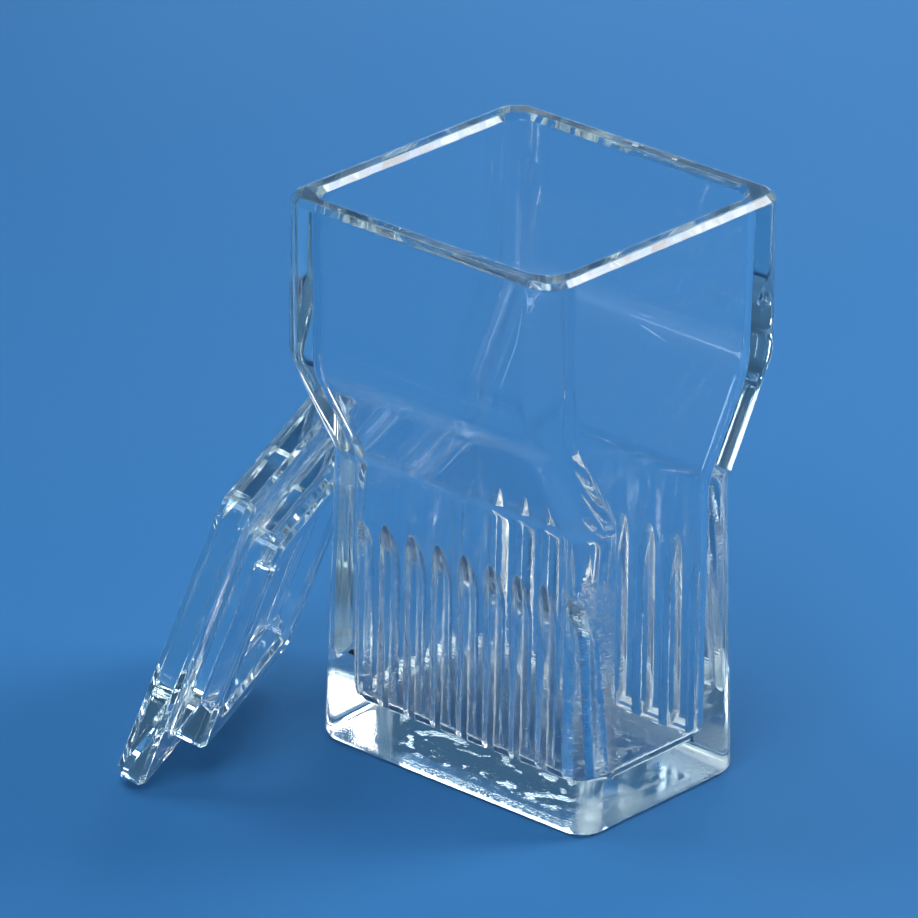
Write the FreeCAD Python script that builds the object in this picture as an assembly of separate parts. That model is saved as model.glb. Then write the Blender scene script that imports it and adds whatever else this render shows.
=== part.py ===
import FreeCAD, Part
import math
import os
from FreeCAD import Vector

# Slide staining jar: a pressed clear glass jar with a flared mouth and nine
# pairs of ribs that hold microscope slides upright, and its loose glass lid,
# which has been taken off and leans on one corner of the jar.
# Millimetres, +Z up, origin at the middle of the underside of the jar's base.
# X runs along the two ribbed walls, Y runs across the slots.

os.makedirs("parts", exist_ok=True)

# ---- jar, outside
JAR_WIDTH = 60.0          # X, over the two plain end walls at the rim
END_SPREAD = 0.4          # each end wall stands out this much more at the base
JAR_HEIGHT = 101.0
MOUTH_DEPTH = 58.0        # Y, over the flared mouth
WAIST_DEPTH = 35.8        # Y, just under the flare
FOOT_SPREAD = 2.0         # each ribbed wall stands out this much more at the base
LOWER_HEIGHT = 52.4       # floor to the lower bend of the flare
FLARE_HEIGHT = 20.0       # lower bend to upper bend
LOWER_BEND_R = 8.0
UPPER_BEND_R = 9.0
CORNER_R = 4.8            # the four upright outer corners
BASE_EDGE_R = 1.5

# ---- jar, walls
END_WALL = 4.0            # end walls, at the rim
MOUTH_WALL = 4.0          # ribbed walls, at the rim
FLARE_WALL = 3.4          # square to the slope of the flare
WAIST_WALL = 3.6          # ribbed walls, at the waist
BASE_THICK = 7.3
END_DRAFT = 0.4           # the bore narrows by this on each side, rim to floor
MOUTH_DRAFT = 1.1         # the same in Y, rim to upper bend
WAIST_DRAFT = 0.3         # the same in Y, lower bend to floor
BORE_CORNER_R = 4.2
BORE_LOWER_BEND_R = 6.0
BORE_UPPER_BEND_R = 12.0
FLOOR_EDGE_R = 2.6
RIM_OUTER_R = 1.3
RIM_INNER_R = 1.3

# ---- ribs that divide the slots
RIB_COUNT = 9             # on each of the two walls, for eight slots
RIB_END_GAP = 0.8         # outermost rib to the end wall
RIB_ROOT = 2.6            # width where the rib meets the wall
RIB_CREST = 1.9           # width at the crest, before its corners are rounded
RIB_CREST_R = 0.35
RIB_HEIGHT = 2.8          # how far the crest stands off the wall
RIB_LENGTH = 33.8         # floor to tip
RIB_TAPER = 9.0           # the last stretch, where the rib dies away
RIB_SHOULDER = 3.6        # tip to the bend halfway along that stretch
RIB_SHOULDER_WIDTH = 2.5
RIB_SHOULDER_HEIGHT = 1.8
RIB_TIP_WIDTH = 1.1
RIB_TIP_HEIGHT = 0.25

# ---- lid
LID_OVERHANG = 0.0        # past the outside of the rim
LID_THICK = 5.2
LID_CORNER_R = 4.0
LID_TOP_EDGE_R = 1.3
LID_UNDER_EDGE_R = 1.0
COLLAR_END_PLAY = 3.0     # collar to each end wall of the mouth
COLLAR_SIDE_PLAY = 3.8    # collar to each ribbed wall of the mouth
COLLAR_HEIGHT = 6.2
COLLAR_WALL = 5.4
COLLAR_CORNER_R = 3.4
COLLAR_EDGE_R = 1.0
COLLAR_FOOT_R = 1.0
RECESS_DEEP = 4.2         # hollow inside the collar
RECESS_DRAFT = 0.6        # it narrows by this on each side towards its floor
RECESS_CORNER_R = 2.6
RECESS_FLOOR_R = 1.3

# ---- how the lid leans
LEAN_DEG = 19.9           # away from upright
TURN_DEG = 24.6           # its lower edge, turned from +Y towards -X
TOUCH_ALONG = 34.8        # from the lid's near side to the jar's corner
LEAN_GAP = 0.1

FLARE_LOW_Z = LOWER_HEIGHT
FLARE_TOP_Z = LOWER_HEIGHT + FLARE_HEIGHT
BASE_WIDTH = JAR_WIDTH + 2 * END_SPREAD
BASE_DEPTH = WAIST_DEPTH + 2 * FOOT_SPREAD

BORE_RIM_X = JAR_WIDTH / 2 - END_WALL
BORE_FLOOR_X = BORE_RIM_X - END_DRAFT
BORE_RIM_Y = MOUTH_DEPTH / 2 - MOUTH_WALL
BORE_SHOULDER_Y = BORE_RIM_Y - MOUTH_DRAFT
BORE_WAIST_Y = WAIST_DEPTH / 2 - WAIST_WALL
BORE_FLOOR_Y = BORE_WAIST_Y - WAIST_DRAFT

LID_WIDTH = JAR_WIDTH + 2 * LID_OVERHANG
LID_DEPTH = MOUTH_DEPTH + 2 * LID_OVERHANG
COLLAR_WIDTH = 2 * (BORE_RIM_X - COLLAR_END_PLAY)
COLLAR_DEPTH = 2 * (BORE_RIM_Y - COLLAR_SIDE_PLAY)

TINY = 0.01


def bore_bend_z(bore_y):
    """Height at which the flare's inner slope reaches this half depth."""
    slope = (MOUTH_DEPTH - WAIST_DEPTH) / 2 / FLARE_HEIGHT
    offset = FLARE_WALL * math.hypot(1.0, slope)
    return FLARE_LOW_Z + (bore_y + offset - WAIST_DEPTH / 2) / slope


def along_line(value_low, value_high, z_low, z_high, z):
    """Value at height z on the straight line through two known heights."""
    return value_low + (value_high - value_low) * (z - z_low) / (z_high - z_low)


def rounded_wire(points, radii):
    """Closed wire through points in one plane, each corner rounded."""
    count = len(points)
    corners = []
    for i in range(count):
        corner = points[i]
        back = points[i - 1].sub(corner)
        ahead = points[(i + 1) % count].sub(corner)
        back.normalize()
        ahead.normalize()
        radius = radii[i]
        if radius <= 0:
            corners.append((corner, corner, corner))
            continue
        half = back.getAngle(ahead) / 2
        trim = radius / math.tan(half)
        inward = back.add(ahead)
        inward.normalize()
        bulge = radius / math.sin(half) - radius
        corners.append((corner.add(Vector(back).multiply(trim)),
                        corner.add(Vector(inward).multiply(bulge)),
                        corner.add(Vector(ahead).multiply(trim))))
    edges = []
    for i in range(count):
        start, middle, end = corners[i]
        if radii[i] > 0:
            edges.append(Part.Arc(start, middle, end).toShape())
        following = corners[(i + 1) % count][0]
        if end.distanceToPoint(following) > TINY / 100:
            edges.append(Part.makeLine(end, following))
    return Part.Wire(edges)


def rectangle(half_x, half_y, z, corner_r):
    """Rectangle with rounded corners, level, about the Z axis."""
    points = [Vector(-half_x, -half_y, z), Vector(half_x, -half_y, z),
              Vector(half_x, half_y, z), Vector(-half_x, half_y, z)]
    return rounded_wire(points, [corner_r] * 4)


def edges_where(shape, wanted):
    return [edge for edge in shape.Edges if wanted(edge.BoundBox)]


def walled_block(side, bend_radii, ends, corner_r):
    """Block with a bent Y-Z outline, sloping end walls and rounded corners.

    side: half depth and height of each bend, going up one ribbed wall.
    ends: half width and height of the end walls, at the bottom and the top.
    """
    right = [Vector(0, y, z) for y, z in side]
    left = [Vector(0, -y, z) for y, z in reversed(side)]
    outline = rounded_wire(right + left, bend_radii + bend_radii[::-1])
    reach = 2 * max(x for x, z in ends)
    body = Part.Face(outline).extrude(Vector(2 * reach, 0, 0))
    body.translate(Vector(-reach, 0, 0))

    span = 2 * max(y for y, z in side)
    (low_x, low_z), (high_x, high_z) = ends
    wall_line = Part.makePolygon([
        Vector(-low_x, -span, low_z), Vector(low_x, -span, low_z),
        Vector(high_x, -span, high_z), Vector(-high_x, -span, high_z),
        Vector(-low_x, -span, low_z)])
    between_ends = Part.Face(wall_line).extrude(Vector(0, 2 * span, 0))
    body = body.common(between_ends).Solids[0]

    corners = edges_where(
        body, lambda b: b.ZLength > TINY and b.XLength < low_x)
    return body.makeFillet(corner_r, corners)


def jar_outside():
    body = walled_block(
        [(BASE_DEPTH / 2, 0.0), (WAIST_DEPTH / 2, FLARE_LOW_Z),
         (MOUTH_DEPTH / 2, FLARE_TOP_Z), (MOUTH_DEPTH / 2, JAR_HEIGHT)],
        [0, LOWER_BEND_R, UPPER_BEND_R, 0],
        [(BASE_WIDTH / 2, 0.0), (JAR_WIDTH / 2, JAR_HEIGHT)], CORNER_R)
    rim = edges_where(body, lambda b: b.ZMin > JAR_HEIGHT - TINY)
    body = body.makeFillet(RIM_OUTER_R, rim)
    foot = edges_where(body, lambda b: b.ZMax < TINY)
    return body.makeFillet(BASE_EDGE_R, foot)


def jar_bore():
    """The space inside, carried on past the rim so that it cuts cleanly."""
    shoulder_z = bore_bend_z(BORE_SHOULDER_Y)
    waist_z = bore_bend_z(BORE_WAIST_Y)
    top_z = JAR_HEIGHT + MOUTH_WALL
    top_x = along_line(BORE_FLOOR_X, BORE_RIM_X, BASE_THICK, JAR_HEIGHT, top_z)
    top_y = along_line(BORE_SHOULDER_Y, BORE_RIM_Y, shoulder_z, JAR_HEIGHT, top_z)
    bore = walled_block(
        [(BORE_FLOOR_Y, BASE_THICK), (BORE_WAIST_Y, waist_z),
         (BORE_SHOULDER_Y, shoulder_z), (top_y, top_z)],
        [0, BORE_LOWER_BEND_R, BORE_UPPER_BEND_R, 0],
        [(BORE_FLOOR_X, BASE_THICK), (top_x, top_z)], BORE_CORNER_R)
    floor = edges_where(bore, lambda b: b.ZMax < BASE_THICK + TINY)
    return bore.makeFillet(FLOOR_EDGE_R, floor)


def ribbed_wall_y(z):
    """Half depth of the bore at height z, below the flare."""
    return along_line(BORE_FLOOR_Y, BORE_WAIST_Y,
                      BASE_THICK, bore_bend_z(BORE_WAIST_Y), z)


def rib_section(side, z, root, crest, height, crest_r):
    """Level section of a rib whose root is let into the wall."""
    wall_y = ribbed_wall_y(z)
    buried = side * (wall_y + WAIST_WALL / 3)
    surface = side * wall_y
    top = side * (wall_y - height)
    points = [Vector(-root / 2, buried, z), Vector(-root / 2, surface, z),
              Vector(-crest / 2, top, z), Vector(crest / 2, top, z),
              Vector(root / 2, surface, z), Vector(root / 2, buried, z)]
    return rounded_wire(points, [0, 0, crest_r, crest_r, 0, 0])


def rib(x, side):
    tip_z = BASE_THICK + RIB_LENGTH
    full = [rib_section(side, z, RIB_ROOT, RIB_CREST, RIB_HEIGHT, RIB_CREST_R)
            for z in (BASE_THICK - FLOOR_EDGE_R / 2, tip_z - RIB_TAPER)]
    shoulder = rib_section(side, tip_z - RIB_SHOULDER, RIB_SHOULDER_WIDTH,
                           RIB_SHOULDER_WIDTH * RIB_CREST / RIB_ROOT,
                           RIB_SHOULDER_HEIGHT, RIB_CREST_R)
    tip = rib_section(side, tip_z, RIB_TIP_WIDTH, RIB_TIP_WIDTH / 2,
                      RIB_TIP_HEIGHT, RIB_TIP_HEIGHT / 2)
    whole = Part.makeLoft(full, True, True)
    whole = whole.fuse(Part.makeLoft([full[1], shoulder], True, True))
    whole = whole.fuse(Part.makeLoft([shoulder, tip], True, True))
    whole.translate(Vector(x, 0, 0))
    return whole


def jar():
    body = jar_outside().cut(jar_bore())
    inner_rim = edges_where(
        body, lambda b: b.ZMin > JAR_HEIGHT - TINY
        and b.XMax < BORE_RIM_X + TINY and b.XMin > -BORE_RIM_X - TINY
        and b.YMax < BORE_RIM_Y + TINY and b.YMin > -BORE_RIM_Y - TINY)
    body = body.makeFillet(RIM_INNER_R, inner_rim)
    outermost = BORE_FLOOR_X - RIB_END_GAP - RIB_ROOT / 2
    pitch = 2 * outermost / (RIB_COUNT - 1)
    ribs = [rib(i * pitch - outermost, side)
            for side in (-1, 1) for i in range(RIB_COUNT)]
    return body.fuse(ribs).Solids[0]


def lid():
    """Lid about its own middle, underside at z = 0, collar towards +z."""
    plate = Part.Face(rectangle(LID_WIDTH / 2, LID_DEPTH / 2, -LID_THICK,
                                LID_CORNER_R))
    plate = plate.extrude(Vector(0, 0, LID_THICK))
    plate = plate.makeFillet(
        LID_TOP_EDGE_R, edges_where(plate, lambda b: b.ZMax < TINY - LID_THICK))
    plate = plate.makeFillet(
        LID_UNDER_EDGE_R, edges_where(plate, lambda b: b.ZMin > -TINY))
    collar = Part.Face(rectangle(COLLAR_WIDTH / 2, COLLAR_DEPTH / 2,
                                 -LID_THICK / 2, COLLAR_CORNER_R))
    collar = collar.extrude(Vector(0, 0, LID_THICK / 2 + COLLAR_HEIGHT))
    body = plate.fuse(collar).removeSplitter().Solids[0].cut(lid_recess())
    body = body.makeFillet(
        COLLAR_EDGE_R, edges_where(body, lambda b: b.ZMin > COLLAR_HEIGHT - TINY))
    foot = edges_where(
        body, lambda b: b.ZMin > -TINY and b.ZMax < TINY
        and b.XMax < COLLAR_WIDTH / 2 + TINY
        and b.XMin > -COLLAR_WIDTH / 2 - TINY
        and b.YMax < COLLAR_DEPTH / 2 + TINY
        and b.YMin > -COLLAR_DEPTH / 2 - TINY)
    return body.makeFillet(COLLAR_FOOT_R, foot).Solids[0]


def lid_recess():
    """The hollow inside the collar, carried on past the collar's crest."""
    floor_z = COLLAR_HEIGHT - RECESS_DEEP
    sections = []
    for z in (floor_z, floor_z + 2 * RECESS_DEEP):
        inset = COLLAR_WALL + along_line(RECESS_DRAFT, 0.0,
                                         floor_z, COLLAR_HEIGHT, z)
        sections.append(rectangle(COLLAR_WIDTH / 2 - inset,
                                  COLLAR_DEPTH / 2 - inset, z, RECESS_CORNER_R))
    recess = Part.makeLoft(sections, True, True)
    floor = edges_where(recess, lambda b: b.ZMax < floor_z + TINY)
    return recess.makeFillet(RECESS_FLOOR_R, floor)


def leaning_lid(shape):
    """Stand the lid on its lower edge and slide it until it meets the jar."""
    turn = math.radians(TURN_DEG)
    tip = math.radians(LEAN_DEG)
    along = Vector(-math.sin(turn), math.cos(turn), 0)
    level = Vector(math.cos(turn), math.sin(turn), 0)
    upright = Vector(0, 0, 1)
    up = Vector(level).multiply(math.sin(tip)).add(
        Vector(upright).multiply(math.cos(tip)))
    out = Vector(level).multiply(math.cos(tip)).sub(
        Vector(upright).multiply(math.sin(tip)))

    # the underside's rounded lower edge is what stands on the floor
    lift = LID_UNDER_EDGE_R * (1.0 - math.cos(tip) - math.sin(tip))
    corner = Vector(CORNER_R - JAR_WIDTH / 2, CORNER_R - WAIST_DEPTH / 2, lift)
    well_clear = -2 * LID_DEPTH
    middle = corner.add(Vector(along).multiply(LID_WIDTH / 2 - TOUCH_ALONG))
    middle = middle.add(Vector(up).multiply(LID_DEPTH / 2))
    middle = middle.add(Vector(level).multiply(well_clear))
    axes = FreeCAD.Matrix(along.x, up.x, out.x, middle.x,
                          along.y, up.y, out.y, middle.y,
                          along.z, up.z, out.z, middle.z,
                          0, 0, 0, 1)
    shape.Placement = FreeCAD.Placement(axes)

    outside = jar_outside()
    gap = outside.distToShape(shape)[0]
    while gap > LEAN_GAP + TINY / 10:
        shape.translate(Vector(level).multiply(gap - LEAN_GAP))
        gap = outside.distToShape(shape)[0]
    return shape


for name, shape in (("jar", jar()), ("lid", leaning_lid(lid()))):
    shape.exportStep("parts/%s.step" % name)
    print(name, "valid" if shape.isValid() else "NOT VALID",
          "%.1f mm3" % shape.Volume, shape.Placement.Base)
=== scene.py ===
"""Slide staining jar of pressed clear glass, with its lid leaning on it.

Lengths are in metres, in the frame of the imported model: +Z up, origin in the
middle of the underside of the jar's base, X along the two ribbed walls.
"""
import math

import bmesh
import bpy
from bpy.props import (FloatProperty, FloatVectorProperty, IntProperty,
                       PointerProperty)
from mathutils import Matrix, Vector


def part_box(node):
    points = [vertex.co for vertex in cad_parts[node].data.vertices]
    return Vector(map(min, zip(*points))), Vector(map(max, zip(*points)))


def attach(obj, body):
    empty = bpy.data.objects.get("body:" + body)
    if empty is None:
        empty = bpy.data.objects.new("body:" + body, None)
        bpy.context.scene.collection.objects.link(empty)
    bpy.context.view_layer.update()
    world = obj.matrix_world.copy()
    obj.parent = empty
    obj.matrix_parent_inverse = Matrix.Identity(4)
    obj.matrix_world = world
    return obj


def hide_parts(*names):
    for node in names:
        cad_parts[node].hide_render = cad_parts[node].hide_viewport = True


bl_info = {
    "name": "Slide staining jar",
    "version": (1, 0, 0),
    "blender": (4, 5, 0),
    "location": "3D View > Sidebar > Staining jar",
    "description": "Pressed glass staining jar with a lid, and a plain studio",
    "category": "Object",
}

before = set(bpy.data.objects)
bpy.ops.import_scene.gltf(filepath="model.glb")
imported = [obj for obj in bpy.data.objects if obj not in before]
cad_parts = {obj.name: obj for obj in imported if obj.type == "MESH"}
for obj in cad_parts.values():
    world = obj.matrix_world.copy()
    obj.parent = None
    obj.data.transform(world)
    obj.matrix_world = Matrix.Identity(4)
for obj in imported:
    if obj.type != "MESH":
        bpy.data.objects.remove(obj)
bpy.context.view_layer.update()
JAR_LOW, JAR_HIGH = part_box("jar")
LID_LOW, LID_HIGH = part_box("lid")

MM = 0.001
ARC_STEPS = 8
CORNER_STEPS = 14
EASE = 0.15 * MM        # flat kept beside a rounding, so that its shade stays true
BESIDE_BEND = 1 * MM    # level kept beside a bend, for the same reason
SIDE_LEVELS = 24        # even levels up the outside
LOWER_LEVELS = 7        # between the floor's edge and the ribs' taper
TAPER_LEVELS = 18       # along the ribs' taper, closer together towards the tip
UPPER_LEVELS = 5        # from the flare to the rim inside
OVER_TIP = 0.3 * MM     # level just above the ribs' tips
LEAST_CORNER = 0.4 * MM
BESIDE_RIB = 0.6 * MM   # column of points on the wall next to a rib
ABOVE_RIBS = 2 * MM     # how far over the tips the walls still count as ribbed
ALMOST = 0.999          # keeps a point off the very end of a corner's arc
SLIGHT_DRAFT = 0.05 * MM


# ---------------------------------------------------------------- settings

def length(name, value_mm, text, low=0.0):
    return FloatProperty(name=name, description=text, default=value_mm * MM,
                         min=low, unit="LENGTH", subtype="DISTANCE",
                         precision=5)


class JarSizes(bpy.types.PropertyGroup):
    width: length("Width", 60.0, "Over the two plain end walls at the rim")
    end_spread: length("End spread", 0.4, "How much further out each end wall stands at the base")
    height: length("Height", JAR_HIGH.z / MM, "Base to rim")
    mouth_depth: length("Mouth depth", (JAR_HIGH.y - JAR_LOW.y) / MM,
                        "Over the ribbed walls at the mouth")
    waist_depth: length("Waist depth", 35.8, "Over the ribbed walls just under the flare")
    foot_spread: length("Foot spread", 2.0,
                        "How much further out each ribbed wall stands at the base")
    lower_height: length("Lower height", 52.4, "Base to the lower bend of the flare")
    flare_height: length("Flare height", 20.0, "Lower bend to upper bend")
    lower_bend: length("Lower bend", 3.0, "Outer radius of the lower bend")
    upper_bend: length("Upper bend", 9.0, "Outer radius of the upper bend")
    corner: length("Corner", 4.8, "Radius of the four upright corners")
    base_edge: length("Base edge", 1.5, "Rounding round the underside")
    rim_outer: length("Rim outer edge", 1.25, "Bevel outside the rim")
    rim_inner: length("Rim inner edge", 1.25, "Bevel inside the rim")
    end_wall: length("End wall", 4.0, "Thickness of the end walls at the rim")
    mouth_wall: length("Mouth wall", 4.0, "Thickness of the ribbed walls at the rim")
    flare_wall: length("Flare wall", 3.4, "Thickness square to the flare's slope")
    waist_wall: length("Waist wall", 3.6, "Thickness of the ribbed walls at the waist")
    base: length("Base", 7.3, "Thickness of the base")
    end_draft: length("End draft", 0.4, "How much the bore narrows on each side in X, rim to floor")
    mouth_draft: length("Mouth draft", 1.1, "The same in Y, rim to upper bend")
    waist_draft: length("Waist draft", 0.3, "The same in Y, lower bend to floor")
    bore_corner: length("Bore corner", 4.2, "Radius of the four upright corners inside")
    bore_lower_bend: length("Bore lower bend", 6.0, "Inner radius of the lower bend")
    bore_upper_bend: length("Bore upper bend", 12.0, "Inner radius of the upper bend")
    floor_edge: length("Floor edge", 2.6, "Rounding round the floor inside")


class RibSizes(bpy.types.PropertyGroup):
    count: IntProperty(name="Ribs", description="Ribs on each of the two walls",
                       default=9, min=2, max=30)
    end_gap: length("End gap", 0.8, "Outermost rib to the end wall")
    root: length("Root width", 2.6, "Width where a rib meets the wall")
    crest: length("Crest width", 1.9, "Width of its crest")
    height: length("Height", 2.8, "How far the crest stands off the wall")
    edge: length("Edge", 0.12, "Half the width of the roundings along it")
    length: length("Length", 33.8, "Floor to tip")
    taper: length("Taper", 10.0, "Last stretch, where the rib gets lower")
    point: length("Point", 4.5, "Last stretch, where it gets narrower")
    tip_width: FloatProperty(name="Tip width",
                             description="Share of its width that is left at the tip",
                             default=0.4, min=0.05, max=1.0, subtype="FACTOR")


class LidSizes(bpy.types.PropertyGroup):
    width: length("Width", 60.0, "Plate, along the edge that it stands on")
    depth: length("Depth", 58.0, "Plate, up its slope")
    thick: length("Thickness", 5.2, "Plate without its collar")
    corner: length("Corner", 4.0, "Radius of the plate's corners")
    top_edge: length("Top edge", 1.3, "Bevel round its top face")
    under_edge: length("Underside edge", 1.0, "Bevel round its underside")
    collar_width: length("Collar width", 46.0, "Collar, the same way as the plate's width")
    collar_depth: length("Collar depth", 42.4, "Collar, the same way as the plate's depth")
    collar_height: length("Collar height", 6.2, "How far it stands off the plate")
    collar_wall: length("Collar wall", 5.4, "Width of its crest with its bevels")
    collar_corner: length("Collar corner", 3.4, "Radius of its corners")
    collar_edge: length("Collar edge", 1.0, "Bevels of its crest")
    collar_foot: length("Collar foot", 1.0, "Hollow rounding where it meets the plate")
    recess: length("Recess", 4.2, "Depth of the hollow inside the collar")
    recess_draft: length("Recess draft", 0.6, "How much it narrows on each side")
    recess_corner: length("Recess corner", 2.6, "Radius of its corners")
    recess_floor: length("Recess floor edge", 1.3, "Rounding round its floor")
    lean: FloatProperty(name="Lean", description="Away from upright",
                        default=math.radians(19.9), subtype="ANGLE", unit="ROTATION")
    turn: FloatProperty(name="Turn", description="Its lower edge, turned from +Y towards -X",
                        default=math.radians(24.6), subtype="ANGLE", unit="ROTATION")


class GlassLook(bpy.types.PropertyGroup):
    tint: FloatVectorProperty(name="Tint", description="Colour of thick glass seen edge on",
                              subtype="COLOR", size=3, min=0.0, max=1.0,
                              default=(0.93, 0.968, 0.925))
    density: FloatProperty(name="Tint density",
                           description="How fast the tint builds up with depth, per metre",
                           default=11.0, min=0.0)
    ripple: length("Ripple height", 0.008, "Height of the slow waves that pressing leaves")
    chill: length("Chill mark height", 0.12, "Height of the fine wrinkles low in the jar")
    chatter: length("Chatter mark height", 0.02,
                    "Height of the level waves across the ribs' flanks")
    rings: length("Ring height", 0.004, "Height of the rings on the floor inside")
    frost: FloatProperty(name="Frost", description="Roughness of the ribs' flanks",
                         default=0.12, min=0.0, max=1.0, subtype="FACTOR")
    stipple: length("Stipple height", 0.16, "Height of the dimples under the base")


class StudioLook(bpy.types.PropertyGroup):
    floor: FloatVectorProperty(name="Floor", description="Colour of the floor",
                               subtype="COLOR", size=3, min=0.0, max=1.0,
                               default=(0.048, 0.195, 0.44))
    lamp: FloatProperty(name="Softbox", description="Brightness of the soft lamps",
                        default=1.0, min=0.0)


# ------------------------------------------------------------ plain outlines

def quarter(radius):
    """(inset, rise) pairs round a quarter circle, from its foot to its top."""
    turns = [math.radians(90) * i / ARC_STEPS for i in range(ARC_STEPS + 1)]
    return [(radius * (1 - math.cos(t)), radius * math.sin(t)) for t in turns]


def bevelled(width):
    """(inset, rise) pairs up a 45 degree bevel whose two edges are softened."""
    soft = 0.35 * width
    turns = [math.radians(45) * i / 4 for i in range(5)]
    foot = [(soft * (1 - math.cos(t)), soft * math.sin(t)) for t in turns]
    foot.append((foot[-1][0] + EASE / 2, foot[-1][1] + EASE / 2))
    return foot + [(width - rise, width - inset) for inset, rise in reversed(foot)]


def bent_profile(points, radii):
    """(height, half) pairs along a run of lines whose bends are rounded."""
    out = [points[0]]
    for i in range(1, len(points) - 1):
        corner = Vector(points[i])
        back = (Vector(points[i - 1]) - corner).normalized()
        ahead = (Vector(points[i + 1]) - corner).normalized()
        half = back.angle(ahead) / 2
        trim = radii[i] / math.tan(half)
        centre = corner + (back + ahead).normalized() * radii[i] / math.sin(half)
        start = corner + back * trim - centre
        end = corner + ahead * trim - centre
        sweep = start.angle(end)
        for k in range(ARC_STEPS + 1):
            t = k / ARC_STEPS
            spoke = (start * math.sin((1 - t) * sweep) + end * math.sin(t * sweep))
            out.append(tuple(centre + spoke / math.sin(sweep)))
    out.append(points[-1])
    return out


def half_at(profile, z):
    """Half size at height z, and its slope there."""
    for (z0, h0), (z1, h1) in zip(profile, profile[1:]):
        if z <= z1 or (z1, h1) == profile[-1]:
            slope = (h1 - h0) / (z1 - z0)
            return h0 + slope * (z - z0), slope
    return profile[-1][1], 0.0


def ring(half_x, half_y, z, corner_x, corner_y, wall_x, wall_y):
    """Level ring with rounded corners, counter-clockwise from above.

    wall_x, wall_y: places along the two pairs of walls that get a point.
    """
    corners = [(1, -1, -90), (1, 1, 0), (-1, 1, 90), (-1, -1, 180)]
    walls = [[(half_x, y) for y in wall_y],
             [(x, half_y) for x in reversed(wall_x)],
             [(-half_x, y) for y in reversed(wall_y)],
             [(x, -half_y) for x in wall_x]]
    out = []
    for (sx, sy, start), wall in zip(corners, walls):
        mid = (sx * (half_x - corner_x), sy * (half_y - corner_y))
        for i in range(CORNER_STEPS + 1):
            t = math.radians(start + 90 * i / CORNER_STEPS)
            out.append((mid[0] + corner_x * math.cos(t), mid[1] + corner_y * math.sin(t), z))
        out.extend((x, y, z) for x, y in wall)
    return out


def new_rows(bm, rings):
    return [[bm.verts.new(p) for p in points] for points in rings]


def skin(bm, rows):
    """Quads between rows of points that run the same way round."""
    for low, high in zip(rows, rows[1:]):
        for i in range(len(low)):
            j = (i + 1) % len(low)
            bm.faces.new((low[i], low[j], high[j], high[i]))


def cap(bm, *loops):
    """Flat face inside a loop, or between two loops, in triangles."""
    edges = []
    for loop in loops:
        for a, b in zip(loop, loop[1:] + loop[:1]):
            edges.append(bm.edges.get((a, b)) or bm.edges.new((a, b)))
    bmesh.ops.triangle_fill(bm, use_beauty=True, use_dissolve=False, edges=edges)


def finished_mesh(bm, name):
    bmesh.ops.recalc_face_normals(bm, faces=bm.faces)
    for face in bm.faces:
        face.smooth = True
    mesh = bpy.data.meshes.new(name)
    bm.to_mesh(mesh)
    bm.free()
    return mesh


def new_object(name, data):
    obj = bpy.data.objects.new(name, data)
    bpy.context.scene.collection.objects.link(obj)
    return obj


# ---------------------------------------------------------------- jar

def outside_rings(s):
    """Rings up the outside of the jar, from its underside to its rim."""
    side = bent_profile(
        [(0.0, s.waist_depth / 2 + s.foot_spread), (s.lower_height, s.waist_depth / 2),
         (s.lower_height + s.flare_height, s.mouth_depth / 2), (s.height, s.mouth_depth / 2)],
        [0, s.lower_bend, s.upper_bend, 0])
    ends = [(0.0, s.width / 2 + s.end_spread), (s.height, s.width / 2)]
    levels = [(s.base_edge + EASE, 0.0), (s.height - s.rim_outer - EASE, 0.0)]
    levels += [(z, 0.0) for z, _ in side[1:-1]]
    levels += [(side[1][0] - BESIDE_BEND, 0.0), (side[-2][0] + BESIDE_BEND, 0.0)]
    levels += [(s.height * i / SIDE_LEVELS, 0.0) for i in range(1, SIDE_LEVELS)]
    levels += [(s.base_edge - rise, inset) for inset, rise in quarter(s.base_edge)]
    levels += [(s.height - s.rim_outer + rise, inset) for inset, rise in bevelled(s.rim_outer)]
    levels += [(0.0, s.base_edge + EASE), (s.height, s.rim_outer + EASE)]
    levels.sort(key=lambda pair: (round(pair[0], 7),
                                  pair[1] if pair[0] > s.height / 2 else -pair[1]))
    rings = []
    for z, inset in levels:
        half_y, slope = half_at(side, z)
        half_x = half_at(ends, z)[0] - inset
        corner = s.corner - inset
        stretch = math.hypot(1.0, slope)
        edge_x = half_x - corner - EASE
        edge_y = half_y - inset - corner * stretch - EASE
        rings.append(ring(half_x, half_y - inset, z, corner, corner * stretch,
                          [-edge_x, edge_x], [-edge_y, edge_y]))
    return rings


def rib_places(s, r):
    """X of each rib's middle, from one end of a wall to the other."""
    outermost = s.width / 2 - s.end_wall - s.end_draft - r.end_gap - r.root / 2
    return [outermost * (2 * i / (r.count - 1) - 1) for i in range(r.count)]


def rib_columns(s, r):
    """Where the ribbed walls get points: close together on the ribs' flanks."""
    middles = rib_places(s, r)
    pitch = middles[1] - middles[0]
    low, high = r.crest / 2, r.root / 2
    offsets = [0.0, low * 0.5, low, high]
    offsets += [edge + side * r.edge for edge in (low, high) for side in (-1, 1)]
    offsets += [(low + high) / 2, high + BESIDE_RIB]
    columns = {round(m + side * o, 8) for m in middles for o in offsets for side in (-1, 1)}
    columns |= {round(m + pitch / 2, 8) for m in middles[:-1]}
    return sorted(columns)


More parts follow.
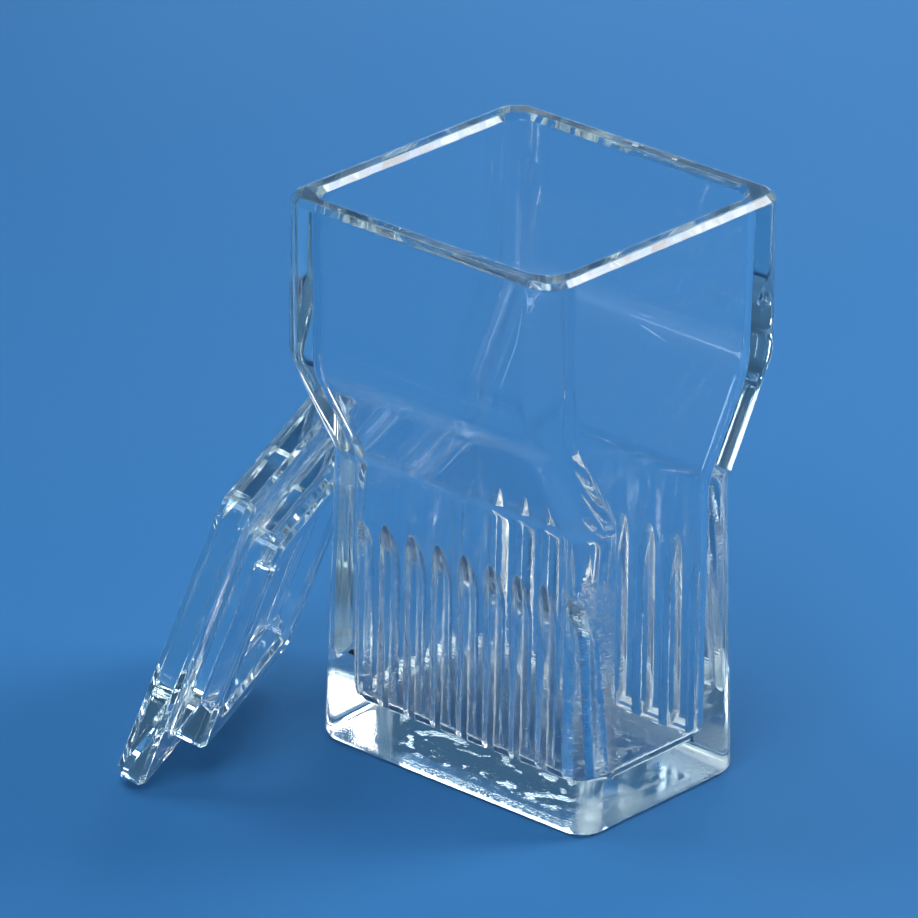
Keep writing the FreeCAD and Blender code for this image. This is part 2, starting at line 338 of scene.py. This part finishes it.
def bore_rings(s, r):
    """Rings up the bore, floor to rim, and the plain wall's half depth at each.

    The ribs are not there yet: their walls only get the points for them.
    """
    slope = (s.mouth_depth - s.waist_depth) / 2 / s.flare_height
    offset = s.flare_wall * math.hypot(1.0, slope)

    def bend_z(half):
        return s.lower_height + (half + offset - s.waist_depth / 2) / slope

    rim_y = s.mouth_depth / 2 - s.mouth_wall
    shoulder = rim_y - s.mouth_draft
    waist = s.waist_depth / 2 - s.waist_wall
    side = bent_profile([(s.base, waist - s.waist_draft), (bend_z(waist), waist),
                         (bend_z(shoulder), shoulder), (s.height, rim_y)],
                        [0, s.bore_lower_bend, s.bore_upper_bend, 0])
    rim_x = s.width / 2 - s.end_wall
    ends = [(s.base, rim_x - s.end_draft), (s.height, rim_x)]
    tip = s.base + r.length
    levels = [(z, 0.0) for z, _ in side[1:-1]]
    levels += [(side[1][0] - BESIDE_BEND, 0.0), (side[-2][0] + BESIDE_BEND, 0.0)]
    levels += [(s.base + s.floor_edge + EASE, 0.0), (s.height - s.rim_inner - EASE, 0.0)]
    levels += [(s.base + s.floor_edge - rise, inset) for inset, rise in quarter(s.floor_edge)]
    levels += [(s.height - s.rim_inner + rise, -inset) for inset, rise in bevelled(s.rim_inner)]
    levels += [(s.base, s.floor_edge + EASE), (s.height, -s.rim_inner - EASE)]
    levels += [(tip - r.taper * (i / TAPER_LEVELS) ** 2, 0.0) for i in range(TAPER_LEVELS + 1)]
    levels += [(tip + OVER_TIP, 0.0)]
    even = r.length - r.taper - s.floor_edge
    levels += [(s.base + s.floor_edge + even * i / LOWER_LEVELS, 0.0)
               for i in range(1, LOWER_LEVELS)]
    neck = s.height - bend_z(shoulder)
    levels += [(bend_z(shoulder) + neck * i / UPPER_LEVELS, 0.0) for i in range(2, UPPER_LEVELS)]
    levels = sorted({(round(z, 8), round(i, 8)) for z, i in levels}, key=lambda p: (p[0], -p[1]))
    columns = rib_columns(s, r)
    rings, walls = [], []
    for z, inset in levels:
        half_y, lean = half_at(side, z)
        half_x = half_at(ends, z)[0] - inset
        corner = max(s.bore_corner - inset, LEAST_CORNER)
        stretch = math.hypot(1.0, lean)
        rings.append(corner_and_wall_ring(half_x, half_y - inset, z,
                                          corner, corner * stretch, columns))
        walls.append(half_y)
    return rings, walls


def corner_and_wall_ring(half_x, half_y, z, corner_x, corner_y, columns):
    """Ring whose ribbed walls keep the same columns, even into the corners."""
    mid_x, mid_y = half_x - corner_x, half_y - corner_y
    last = columns[-1]
    start = math.asin(min(max((last - mid_x) / corner_x, 0.0), ALMOST))
    steps = CORNER_STEPS // 2
    angles = [start + (math.radians(90) - start) * i / steps for i in range(1, steps + 1)]
    corner = [(mid_x + corner_x * math.sin(t), mid_y + corner_y * math.cos(t)) for t in angles]
    wall = []
    for x in columns:
        over = min(max(abs(x) - mid_x, 0.0), corner_x * ALMOST)
        wall.append((x, mid_y + corner_y * math.sqrt(1 - (over / corner_x) ** 2)))
    end = [(half_x, y) for y in (mid_y - EASE, EASE - mid_y)]
    right = corner + end + [(x, -y) for x, y in reversed(corner)]
    points = [(x, -y) for x, y in wall] + [(x, y) for x, y in reversed(right)]
    points += [(x, y) for x, y in reversed(wall)] + [(-x, y) for x, y in right]
    return [(x, y, z) for x, y in points]


def jar_shell(s, r):
    """Jar without its ribs, with what the ribs need to know on its points."""
    bm = bmesh.new()
    wall_layer = bm.verts.layers.float.new("wall_y")
    outside = new_rows(bm, outside_rings(s))
    skin(bm, outside)
    rings, walls = bore_rings(s, r)
    bore = new_rows(bm, rings)
    skin(bm, bore)
    reach = rib_columns(s, r)[-1] + EASE
    top = s.base + r.length + ABOVE_RIBS
    for row, wall in zip(bore, walls):
        for vert in row:
            if abs(vert.co.x) < reach and vert.co.z < top:
                vert[wall_layer] = wall
    cap(bm, outside[0])
    cap(bm, outside[-1], bore[-1])
    cap(bm, bore[0])
    return finished_mesh(bm, "jar_shell")


class Tree:
    """Short way to add nodes to a tree and join them up."""

    def __init__(self, tree):
        self.tree = tree

    def node(self, kind, inputs=(), **settings):
        node = self.tree.nodes.new(kind)
        for name, value in settings.items():
            setattr(node, name, value)
        for key, value in dict(inputs).items():
            if isinstance(value, bpy.types.NodeSocket):
                self.tree.links.new(value, node.inputs[key])
            else:
                node.inputs[key].default_value = value
        return node

    def math(self, operation, *values):
        return self.node("ShaderNodeMath", enumerate(values), operation=operation).outputs[0]


def rib_tree(material):
    """Geometry Nodes tree that draws the ribs out of the plain walls."""
    tree = bpy.data.node_groups.new("Slide ribs", "GeometryNodeTree")
    face = tree.interface
    face.new_socket("Geometry", in_out="INPUT", socket_type="NodeSocketGeometry")
    for name, kind in (("Ribs", "Int"), ("Outermost", "Float"), ("Crest", "Float"),
                       ("Root", "Float"), ("Height", "Float"), ("Tip Z", "Float"),
                       ("Taper", "Float"), ("Point", "Float"), ("Tip Width", "Float")):
        face.new_socket(name, in_out="INPUT", socket_type="NodeSocket" + kind)
    face.new_socket("Geometry", in_out="OUTPUT", socket_type="NodeSocketGeometry")
    t = Tree(tree)
    given = t.node("NodeGroupInput").outputs
    position = t.node("GeometryNodeInputPosition").outputs[0]
    place = t.node("ShaderNodeSeparateXYZ", {0: position}).outputs
    wall = t.node("GeometryNodeInputNamedAttribute", {"Name": "wall_y"},
                  data_type="FLOAT").outputs[0]

    gaps = t.math("SUBTRACT", given["Ribs"], 1.0)
    pitch = t.math("DIVIDE", t.math("MULTIPLY", given["Outermost"], 2.0), gaps)
    along = t.math("DIVIDE", t.math("ADD", place["X"], given["Outermost"]), pitch)
    nearest = t.math("MINIMUM", t.math("MAXIMUM", t.math("ROUND", along), 0.0), gaps)
    off = t.math("MULTIPLY", t.math("ABSOLUTE", t.math("SUBTRACT", along, nearest)), pitch)

    below = t.math("SUBTRACT", given["Tip Z"], place["Z"])

    def domed(stretch):
        short = t.node("ShaderNodeMapRange", {"Value": below, "From Min": 0.0, "From Max": stretch,
                                              "To Min": 1.0, "To Max": 0.0}).outputs[0]
        return t.math("SUBTRACT", 1.0, t.math("POWER", short, 2.0))

    narrow = t.math("ADD", given["Tip Width"], t.math("MULTIPLY", domed(given["Point"]),
                                                      t.math("SUBTRACT", 1.0, given["Tip Width"])))
    # between two ribs the points close in with the rib, but next to a corner they stay
    outer = t.math("MAXIMUM", t.math("LESS_THAN", along, 0.0), t.math("GREATER_THAN", along, gaps))
    shrink = t.math("MAXIMUM", narrow, outer)
    root = t.math("MULTIPLY", given["Root"], 0.5)
    half_pitch = t.math("MULTIPLY", pitch, 0.5)
    spare = t.math("DIVIDE", t.math("SUBTRACT", half_pitch, t.math("MULTIPLY", root, shrink)),
                   t.math("SUBTRACT", half_pitch, root))
    beyond = t.math("MAXIMUM", t.math("SUBTRACT", off, root), 0.0)
    closer = t.math("ADD", t.math("MULTIPLY", t.math("MINIMUM", off, root), shrink),
                    t.math("MULTIPLY", beyond, spare))
    side = t.math("SIGN", t.math("SUBTRACT", along, nearest))
    middle = t.math("SUBTRACT", t.math("MULTIPLY", nearest, pitch), given["Outermost"])
    moved_x = t.math("ADD", middle, t.math("MULTIPLY", side, closer))
    section = t.math("DIVIDE", off, t.math("DIVIDE", narrow, shrink))
    crest = t.math("MULTIPLY", given["Crest"], 0.5)
    across = t.node("ShaderNodeMapRange", {"Value": section, "From Min": crest, "From Max": root,
                                           "To Min": 1.0, "To Max": 0.0}).outputs[0]
    rise = t.math("MULTIPLY", t.math("MULTIPLY", given["Height"], domed(given["Taper"])), across)
    held = t.math("MINIMUM", t.math("ABSOLUTE", place["Y"]), t.math("SUBTRACT", wall, rise))
    moved = t.math("MULTIPLY", t.math("SIGN", place["Y"]), held)

    spot = t.node("ShaderNodeCombineXYZ", {"X": moved_x, "Y": moved, "Z": place["Z"]}).outputs[0]
    ribbed = t.node("FunctionNodeCompare", {0: wall, 1: 0.0}, data_type="FLOAT",
                    operation="GREATER_THAN").outputs[0]
    body = t.node("GeometryNodeSetPosition", {"Geometry": given["Geometry"], "Selection": ribbed,
                                              "Position": spot}).outputs[0]
    body = t.node("GeometryNodeRealizeInstances", {"Geometry": body}).outputs[0]
    body = t.node("GeometryNodeSetMaterial", {"Geometry": body, "Material": material}).outputs[0]
    t.node("NodeGroupOutput", {"Geometry": body})
    return tree


def apply_nodes(obj, tree, values):
    """Run a Geometry Nodes tree on obj and keep its result as a plain mesh."""
    modifier = obj.modifiers.new(tree.name, "NODES")
    modifier.node_group = tree
    for item in tree.interface.items_tree:
        if item.in_out == "INPUT" and item.name in values:
            modifier[item.identifier] = values[item.name]
    bpy.context.view_layer.update()
    shaped = obj.evaluated_get(bpy.context.evaluated_depsgraph_get())
    mesh = bpy.data.meshes.new_from_object(shaped)
    obj.modifiers.remove(modifier)
    old, obj.data = obj.data, mesh
    bpy.data.meshes.remove(old)
    mesh.name = obj.name
    if "wall_y" in mesh.attributes:
        mesh.attributes.remove(mesh.attributes["wall_y"])


# ---------------------------------------------------------------- lid

def lid_mesh(s):
    """Lid about its own middle, underside at z = 0, collar towards +z."""
    half = (s.width / 2, s.depth / 2)
    collar = (s.collar_width / 2, s.collar_depth / 2)
    crest = s.collar_height
    floor = crest - s.recess
    steps = []      # half sizes, corner radius, height

    def add(base, corner, inset, z):
        steps.append((base[0] - inset, base[1] - inset, corner - inset, z))

    add(half, s.corner, s.top_edge + EASE, -s.thick)
    for inset, rise in reversed(bevelled(s.top_edge)):
        add(half, s.corner, inset, s.top_edge - s.thick - rise)
    add(half, s.corner, 0.0, s.top_edge - s.thick + EASE)
    add(half, s.corner, 0.0, -s.under_edge - EASE)
    for inset, rise in bevelled(s.under_edge):
        add(half, s.corner, inset, rise - s.under_edge)
    add(half, s.corner, s.under_edge + EASE, 0.0)
    add(collar, s.collar_corner, -s.collar_foot - EASE, 0.0)
    for inset, rise in reversed(quarter(s.collar_foot)):
        add(collar, s.collar_corner, -inset, s.collar_foot - rise)
    add(collar, s.collar_corner, 0.0, s.collar_foot + EASE)
    add(collar, s.collar_corner, 0.0, crest - s.collar_edge - EASE)
    for inset, rise in bevelled(s.collar_edge):
        add(collar, s.collar_corner, inset, crest - s.collar_edge + rise)
    add(collar, s.collar_corner, s.collar_edge + EASE, crest)
    inner = tuple(c - s.collar_wall for c in collar)
    add(inner, s.recess_corner, -s.collar_edge - EASE, crest)
    for inset, rise in reversed(bevelled(s.collar_edge)):
        add(inner, s.recess_corner, -inset, crest - s.collar_edge + rise)
    add(inner, s.recess_corner, SLIGHT_DRAFT, crest - s.collar_edge - EASE)
    foot = tuple(c - s.recess_draft for c in inner)
    add(foot, s.recess_corner, -SLIGHT_DRAFT, floor + s.recess_floor + EASE)
    for inset, rise in quarter(s.recess_floor):
        add(foot, s.recess_corner, inset, floor + s.recess_floor - rise)
    add(foot, s.recess_corner, s.recess_floor + EASE, floor)

    bm = bmesh.new()
    rings = []
    for half_x, half_y, corner, z in steps:
        edge_x, edge_y = half_x - corner - EASE, half_y - corner - EASE
        rings.append(ring(half_x, half_y, z, corner, corner, [-edge_x, edge_x], [-edge_y, edge_y]))
    rows = new_rows(bm, rings)
    skin(bm, rows)
    cap(bm, rows[0])
    cap(bm, rows[-1])
    return finished_mesh(bm, "lid_glass")


def lean_lid(mesh, s):
    """Stand the lid on its lower edge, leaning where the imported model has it."""
    along = Vector((-math.sin(s.turn), math.cos(s.turn), 0))
    level = Vector((math.cos(s.turn), math.sin(s.turn), 0))
    up = level * math.sin(s.lean) + Vector((0, 0, math.cos(s.lean)))
    out = level * math.cos(s.lean) - Vector((0, 0, math.sin(s.lean)))
    mesh.transform(Matrix((along, up, out)).transposed().to_4x4())
    low = Vector([min(v.co[i] for v in mesh.vertices) for i in range(3)])
    high = Vector([max(v.co[i] for v in mesh.vertices) for i in range(3)])
    mesh.transform(Matrix.Translation((LID_LOW + LID_HIGH - low - high) / 2))


# ---------------------------------------------------------------- glass

# how fine the marks are: waves or spots in a metre
RIPPLE_SCALE = 70.0
CHILL_SCALE = 1200.0
CHATTER_SCALE = 480.0
RING_SCALE = 560.0
STIPPLE_SCALE = 1300.0
PATCH_SCALE = 210.0
FROST_SCALE = 700.0

SLOT_SHARE = 0.3        # of the wrinkles, on the slots' walls and low down
EDGE_SHARE = 0.45       # of the dimples, near the foot's edge
GLASS_IOR = 1.52

# where the marks are on the jar; the lid's are waves only
MARK_PLACES = {
    "Hollow Half X": 27.0 * MM, "Hollow Half Y": 15.5 * MM, "Hollow Floor": 7.3 * MM,
    "Rib Top": 45 * MM, "Foot Half X": 30.0 * MM, "Foot Half Y": 20.0 * MM}


def pressing_marks():
    """Node group: what pressing leaves on glass, as a height and a roughness.

    Slow waves all over, wrinkles, chatter and frost on the ribs' flanks and low
    in the hollow, rings on the hollow's floor and dimples under the base.
    """
    group = bpy.data.node_groups.new("Pressing marks", "ShaderNodeTree")
    face = group.interface
    for name in ("Vector", "Normal"):
        face.new_socket(name, in_out="INPUT", socket_type="NodeSocketVector")
    for name in ("Ripple", "Chill", "Chatter", "Frost", "Rings", "Stipple") + tuple(MARK_PLACES):
        face.new_socket(name, in_out="INPUT", socket_type="NodeSocketFloat")
    for name in ("Height", "Roughness"):
        face.new_socket(name, in_out="OUTPUT", socket_type="NodeSocketFloat")
    t = Tree(group)
    given = t.node("NodeGroupInput").outputs
    place = t.node("ShaderNodeSeparateXYZ", {0: given["Vector"]}).outputs
    facing = t.node("ShaderNodeSeparateXYZ", {0: given["Normal"]}).outputs
    x, y, z = t.math("ABSOLUTE", place["X"]), t.math("ABSOLUTE", place["Y"]), place["Z"]

    def ramp(value, start, end):
        return t.node("ShaderNodeMapRange", {"Value": value, "From Min": start, "From Max": end},
                      interpolation_type="SMOOTHSTEP").outputs[0]

    def noise(scale, detail):
        return t.node("ShaderNodeTexNoise", {"Vector": given["Vector"], "Scale": scale,
                                             "Detail": detail, "Roughness": 0.5}).outputs[0]

    def wave(scale, distortion, **kind):
        return t.node("ShaderNodeTexWave", {"Vector": given["Vector"], "Scale": scale,
                                            "Distortion": distortion, "Detail": 1.0,
                                            "Detail Scale": 0.5}, **kind).outputs["Fac"]

    def times(first, *rest):
        for value in rest:
            first = t.math("MULTIPLY", first, value)
        return first

    def past(limit, value):
        return t.math("SUBTRACT", value, given[limit])

    def short_of(limit, value):
        return t.math("SUBTRACT", given[limit], value)

    def level(limit, millimetres):
        return t.math("ADD", given[limit], millimetres * MM)

    # masks, from 0 to 1
    from_wall = t.math("MINIMUM", short_of("Hollow Half X", x), short_of("Hollow Half Y", y))
    inside = times(ramp(from_wall, -0.5 * MM, 0.0),
                   ramp(z, given["Rib Top"], level("Rib Top", -4)))
    clear_of_ends = ramp(short_of("Hollow Half X", x), 1.6 * MM, 2.2 * MM)
    side_on = ramp(t.math("ABSOLUTE", facing["X"]), 0.6, 0.9)
    sloping = times(ramp(facing["Z"], 0.1, 0.4),
                    ramp(z, level("Hollow Floor", 4), level("Hollow Floor", 6)))
    flank = times(t.math("MAXIMUM", side_on, sloping), clear_of_ends)
    corner = ramp(t.math("MINIMUM", past("Hollow Half X", x), past("Hollow Half Y", y)),
                  -5.5 * MM, -4.0 * MM)
    low = times(ramp(z, given["Rib Top"], level("Hollow Floor", 2)), clear_of_ends, SLOT_SHARE)
    above_floor = ramp(z, level("Hollow Floor", 0.1), level("Hollow Floor", 1))
    wrinkled = times(t.math("MAXIMUM", t.math("MAXIMUM", flank, corner), low),
                     inside, above_floor)
    on_floor = times(ramp(z, level("Hollow Floor", 1), given["Hollow Floor"]), inside)
    from_edge = t.math("MINIMUM", short_of("Foot Half X", x), short_of("Foot Half Y", y))
    middle = times(ramp(from_edge, 8.0 * MM, 14.0 * MM), ramp(from_edge, 19.0 * MM, 14.0 * MM),
                   ramp(noise(PATCH_SCALE, 2.0), 0.47, 0.60))
    edge = times(EDGE_SHARE, ramp(from_edge, 10.0 * MM, 7.0 * MM))
    under = times(ramp(z, 0.9 * MM, 0.4 * MM), t.math("MAXIMUM", middle, edge))
    blotches = ramp(noise(FROST_SCALE, 3.0), 0.35, 0.65)

    chatter = wave(CHATTER_SCALE, 2.5, wave_type="BANDS", bands_direction="Z")
    wrinkles = t.math("ADD", times(noise(CHILL_SCALE, 2.0), given["Chill"]),
                      times(chatter, given["Chatter"]))
    turned = wave(RING_SCALE, 1.5, wave_type="RINGS", rings_direction="Z")
    dimples = t.math("SUBTRACT", noise(STIPPLE_SCALE, 5.0), 0.5)
    height = times(noise(RIPPLE_SCALE, 1.0), given["Ripple"])
    for part in (times(wrinkles, wrinkled), times(turned, given["Rings"], on_floor),
                 times(dimples, given["Stipple"], under)):
        height = t.math("ADD", height, part)
    roughness = times(given["Frost"], flank, inside, blotches)
    t.node("NodeGroupOutput", {"Height": height, "Roughness": roughness})
    return group


def glass_material(name, look, marks, values):
    material = bpy.data.materials.new(name)
    material.use_nodes = True
    material.node_tree.nodes.clear()
    t = Tree(material.node_tree)
    place = t.node("ShaderNodeTexCoord").outputs
    left = t.node("ShaderNodeGroup", node_tree=marks)
    for key, value in values.items():
        left.inputs[key].default_value = value
    material.node_tree.links.new(place["Object"], left.inputs["Vector"])
    material.node_tree.links.new(place["Normal"], left.inputs["Normal"])
    bump = t.node("ShaderNodeBump", {"Strength": 1.0, "Distance": 1.0,
                                     "Height": left.outputs["Height"]}).outputs[0]
    shader = t.node("ShaderNodeBsdfPrincipled", {
        "Base Color": (1, 1, 1, 1), "Roughness": left.outputs["Roughness"], "IOR": GLASS_IOR,
        "Metallic": 0.0, "Transmission Weight": 1.0, "Normal": bump}).outputs[0]
    depth = t.node("ShaderNodeVolumeAbsorption", {"Color": (*look.tint, 1),
                                                  "Density": look.density}).outputs[0]
    t.node("ShaderNodeOutputMaterial", {"Surface": shader, "Volume": depth})


# ---------------------------------------------------------------- studio

VIEW_AZIMUTH = math.radians(42.151)
VIEW_ELEVATION = math.radians(23.716)
VIEW_ROLL = math.radians(0.403)
VIEW_FROM = Vector((937.016, -1052.715, 672.392)) * MM
VIEW_LENS = 365.49      # mm, on a 36 mm frame
FLOOR_DROP = 0.1 * MM   # thin air gap under the glass
FLOOR_REACH = 6.0
MIDDLE = Vector((0, 0, 0.05))       # what the lamps face
WHITE = (1.0, 1.0, 1.0)
COOL = (0.70, 0.90, 1.0)
GLASS_BOUNCES = 32      # light goes to and fro in thick walls many times


def set_camera():
    scene = bpy.context.scene
    data = bpy.data.cameras.new("view")
    data.lens = VIEW_LENS
    data.sensor_width = 36.0
    data.clip_start = 0.01
    data.clip_end = 50.0
    camera = new_object("view", data)
    a, e = VIEW_AZIMUTH, VIEW_ELEVATION
    back = Vector((math.sin(a) * math.cos(e), -math.cos(a) * math.cos(e), math.sin(e)))
    right = Vector((math.cos(a), math.sin(a), 0))
    up = back.cross(right)
    right, up = (right * math.cos(VIEW_ROLL) + up * math.sin(VIEW_ROLL),
                 up * math.cos(VIEW_ROLL) - right * math.sin(VIEW_ROLL))
    turn = Matrix((right, up, back)).transposed().to_4x4()
    camera.matrix_world = Matrix.Translation(VIEW_FROM) @ turn
    scene.camera = camera


def beside(azimuth, elevation, distance):
    """Place at these angles, in degrees, and this distance from the middle of the jar."""
    a, e = math.radians(azimuth), math.radians(elevation)
    way = Vector((math.cos(a) * math.cos(e), math.sin(a) * math.cos(e), math.sin(e)))
    return way * distance + MIDDLE


# name, place, width and height, brightness, colour
LAMPS = (
    ("lamp_front", Vector((0.10, -0.25, 0.50)), (0.24, 0.24), 6.0, COOL),
    ("lamp_key", beside(57, 36, 0.60), (0.28, 0.23), 12.0, WHITE),
    ("lamp_left", beside(-149, 18, 0.55), (0.10, 0.10), 8.0, COOL),
    ("lamp_back", beside(114, 38, 0.60), (0.16, 0.11), 8.0, COOL),
    ("lamp_high", beside(-154, 64, 0.70), (0.30, 0.30), 5.5, COOL),
    ("lamp_low", beside(129, 3, 0.60), (0.34, 0.12), 6.0, COOL),
)

# height of the sky from the horizon, 0, to overhead, 1, and its colour there
SKY = ((0.10, (0.06, 0.17, 0.34, 1)), (0.65, (0.03, 0.07, 0.12, 1)))


def softbox(name, place, size, brightness, colour):
    """Soft lamp that faces the jar's middle; brightness is what it looks like head on."""
    data = bpy.data.lights.new(name, "AREA")
    data.shape = "RECTANGLE"
    data.size, data.size_y = size
    data.color = colour
    data.energy = brightness * math.pi * size[0] * size[1]
    lamp = new_object(name, data)
    lamp.location = place
    lamp.rotation_euler = (MIDDLE - place).to_track_quat("-Z", "Y").to_euler()
    lamp.visible_camera = False


def set_world():
    world = bpy.data.worlds.new("studio")
    bpy.context.scene.world = world
    world.use_nodes = True
    world.node_tree.nodes.clear()
    t = Tree(world.node_tree)
    way = t.node("ShaderNodeTexCoord").outputs["Generated"]
    z = t.node("ShaderNodeSeparateXYZ", {0: way}).outputs["Z"]
    ramp = t.node("ShaderNodeValToRGB", {0: z})
    for stop, (position, colour) in zip(ramp.color_ramp.elements, SKY):
        stop.position, stop.color = position, colour
    shade = t.node("ShaderNodeBackground", {"Color": ramp.outputs[0],
                                            "Strength": 1.0}).outputs[0]
    t.node("ShaderNodeOutputWorld", {"Surface": shade})


def set_floor(look):
    bm = bmesh.new()
    bmesh.ops.create_circle(bm, cap_ends=True, segments=96, radius=FLOOR_REACH)
    bmesh.ops.translate(bm, verts=bm.verts, vec=(0, 0, -FLOOR_DROP))
    mesh = bpy.data.meshes.new("floor")
    bm.to_mesh(mesh)
    bm.free()
    floor = new_object("floor", mesh)
    material = bpy.data.materials.new("floor")
    material.use_nodes = True
    shader = material.node_tree.nodes["Principled BSDF"]
    shader.inputs["Base Color"].default_value = (*look.floor, 1)
    shader.inputs["Roughness"].default_value = 0.8
    shader.inputs["Specular IOR Level"].default_value = 0.1
    mesh.materials.append(material)


# ---------------------------------------------------------------- operators

class JAR_OT_materials(bpy.types.Operator):
    """Make the jar's and the lid's glass"""
    bl_idname = "staining_jar.materials"
    bl_label = "Glass"

    def execute(self, context):
        look = context.scene.jar_glass_look
        marks = pressing_marks()
        glass_material("clear_jar_glass", look, marks, {
            "Ripple": look.ripple, "Chill": look.chill, "Chatter": look.chatter,
            "Frost": look.frost, "Rings": look.rings, "Stipple": look.stipple, **MARK_PLACES})
        glass_material("clear_lid_glass", look, marks, {"Ripple": look.ripple})
        return {"FINISHED"}


class JAR_OT_jar(bpy.types.Operator):
    """Make the ribbed jar"""
    bl_idname = "staining_jar.jar"
    bl_label = "Jar"

    def execute(self, context):
        s, r = context.scene.jar_sizes, context.scene.jar_rib_sizes
        jar = new_object("pressed_jar", jar_shell(s, r))
        tree = rib_tree(bpy.data.materials["clear_jar_glass"])
        apply_nodes(jar, tree, {
            "Ribs": r.count, "Outermost": rib_places(s, r)[-1], "Crest": r.crest,
            "Root": r.root, "Height": r.height, "Tip Z": s.base + r.length,
            "Taper": r.taper, "Point": r.point, "Tip Width": r.tip_width})
        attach(jar, "root")
        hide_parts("jar")
        return {"FINISHED"}


class JAR_OT_lid(bpy.types.Operator):
    """Make the lid that leans on the jar"""
    bl_idname = "staining_jar.lid"
    bl_label = "Lid"

    def execute(self, context):
        s = context.scene.jar_lid_sizes
        mesh = lid_mesh(s)
        lean_lid(mesh, s)
        mesh.materials.append(bpy.data.materials["clear_lid_glass"])
        lid = new_object("pressed_lid", mesh)
        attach(lid, "root")
        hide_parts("lid")
        return {"FINISHED"}


class JAR_OT_studio(bpy.types.Operator):
    """Set up the floor, the lamps and the camera"""
    bl_idname = "staining_jar.studio"
    bl_label = "Studio"

    def execute(self, context):
        look = context.scene.jar_studio_look
        set_camera()
        set_world()
        set_floor(look)
        for name, place, size, brightness, colour in LAMPS:
            softbox(name, place, size, brightness * look.lamp, colour)
        context.scene.view_settings.view_transform = "Standard"
        context.scene.cycles.max_bounces = GLASS_BOUNCES
        context.scene.cycles.transmission_bounces = GLASS_BOUNCES
        context.scene.cycles.glossy_bounces = GLASS_BOUNCES
        return {"FINISHED"}


class JAR_PT_panel(bpy.types.Panel):
    """Sizes, colours and the buttons that make each piece"""
    bl_idname = "JAR_PT_panel"
    bl_label = "Slide staining jar"
    bl_space_type = "VIEW_3D"
    bl_region_type = "UI"
    bl_category = "Staining jar"

    def draw(self, context):
        for group, cls in SETTINGS:
            box = self.layout.box()
            for name in cls.__annotations__:
                box.prop(getattr(context.scene, group), name)
        for operator in OPERATORS:
            self.layout.operator(operator.bl_idname)


SETTINGS = (("jar_sizes", JarSizes), ("jar_rib_sizes", RibSizes), ("jar_lid_sizes", LidSizes),
            ("jar_glass_look", GlassLook), ("jar_studio_look", StudioLook))
OPERATORS = (JAR_OT_materials, JAR_OT_jar, JAR_OT_lid, JAR_OT_studio)


def register():
    for name, cls in SETTINGS:
        bpy.utils.register_class(cls)
        setattr(bpy.types.Scene, name, PointerProperty(type=cls))
    for cls in OPERATORS + (JAR_PT_panel,):
        bpy.utils.register_class(cls)


def unregister():
    for cls in (JAR_PT_panel,) + OPERATORS:
        bpy.utils.unregister_class(cls)
    for name, cls in SETTINGS:
        delattr(bpy.types.Scene, name)
        bpy.utils.unregister_class(cls)


def main():
    register()
    bpy.ops.staining_jar.materials()
    bpy.ops.staining_jar.jar()
    bpy.ops.staining_jar.lid()
    bpy.ops.staining_jar.studio()
    bpy.context.view_layer.update()


if __name__ == "__main__":
    main()
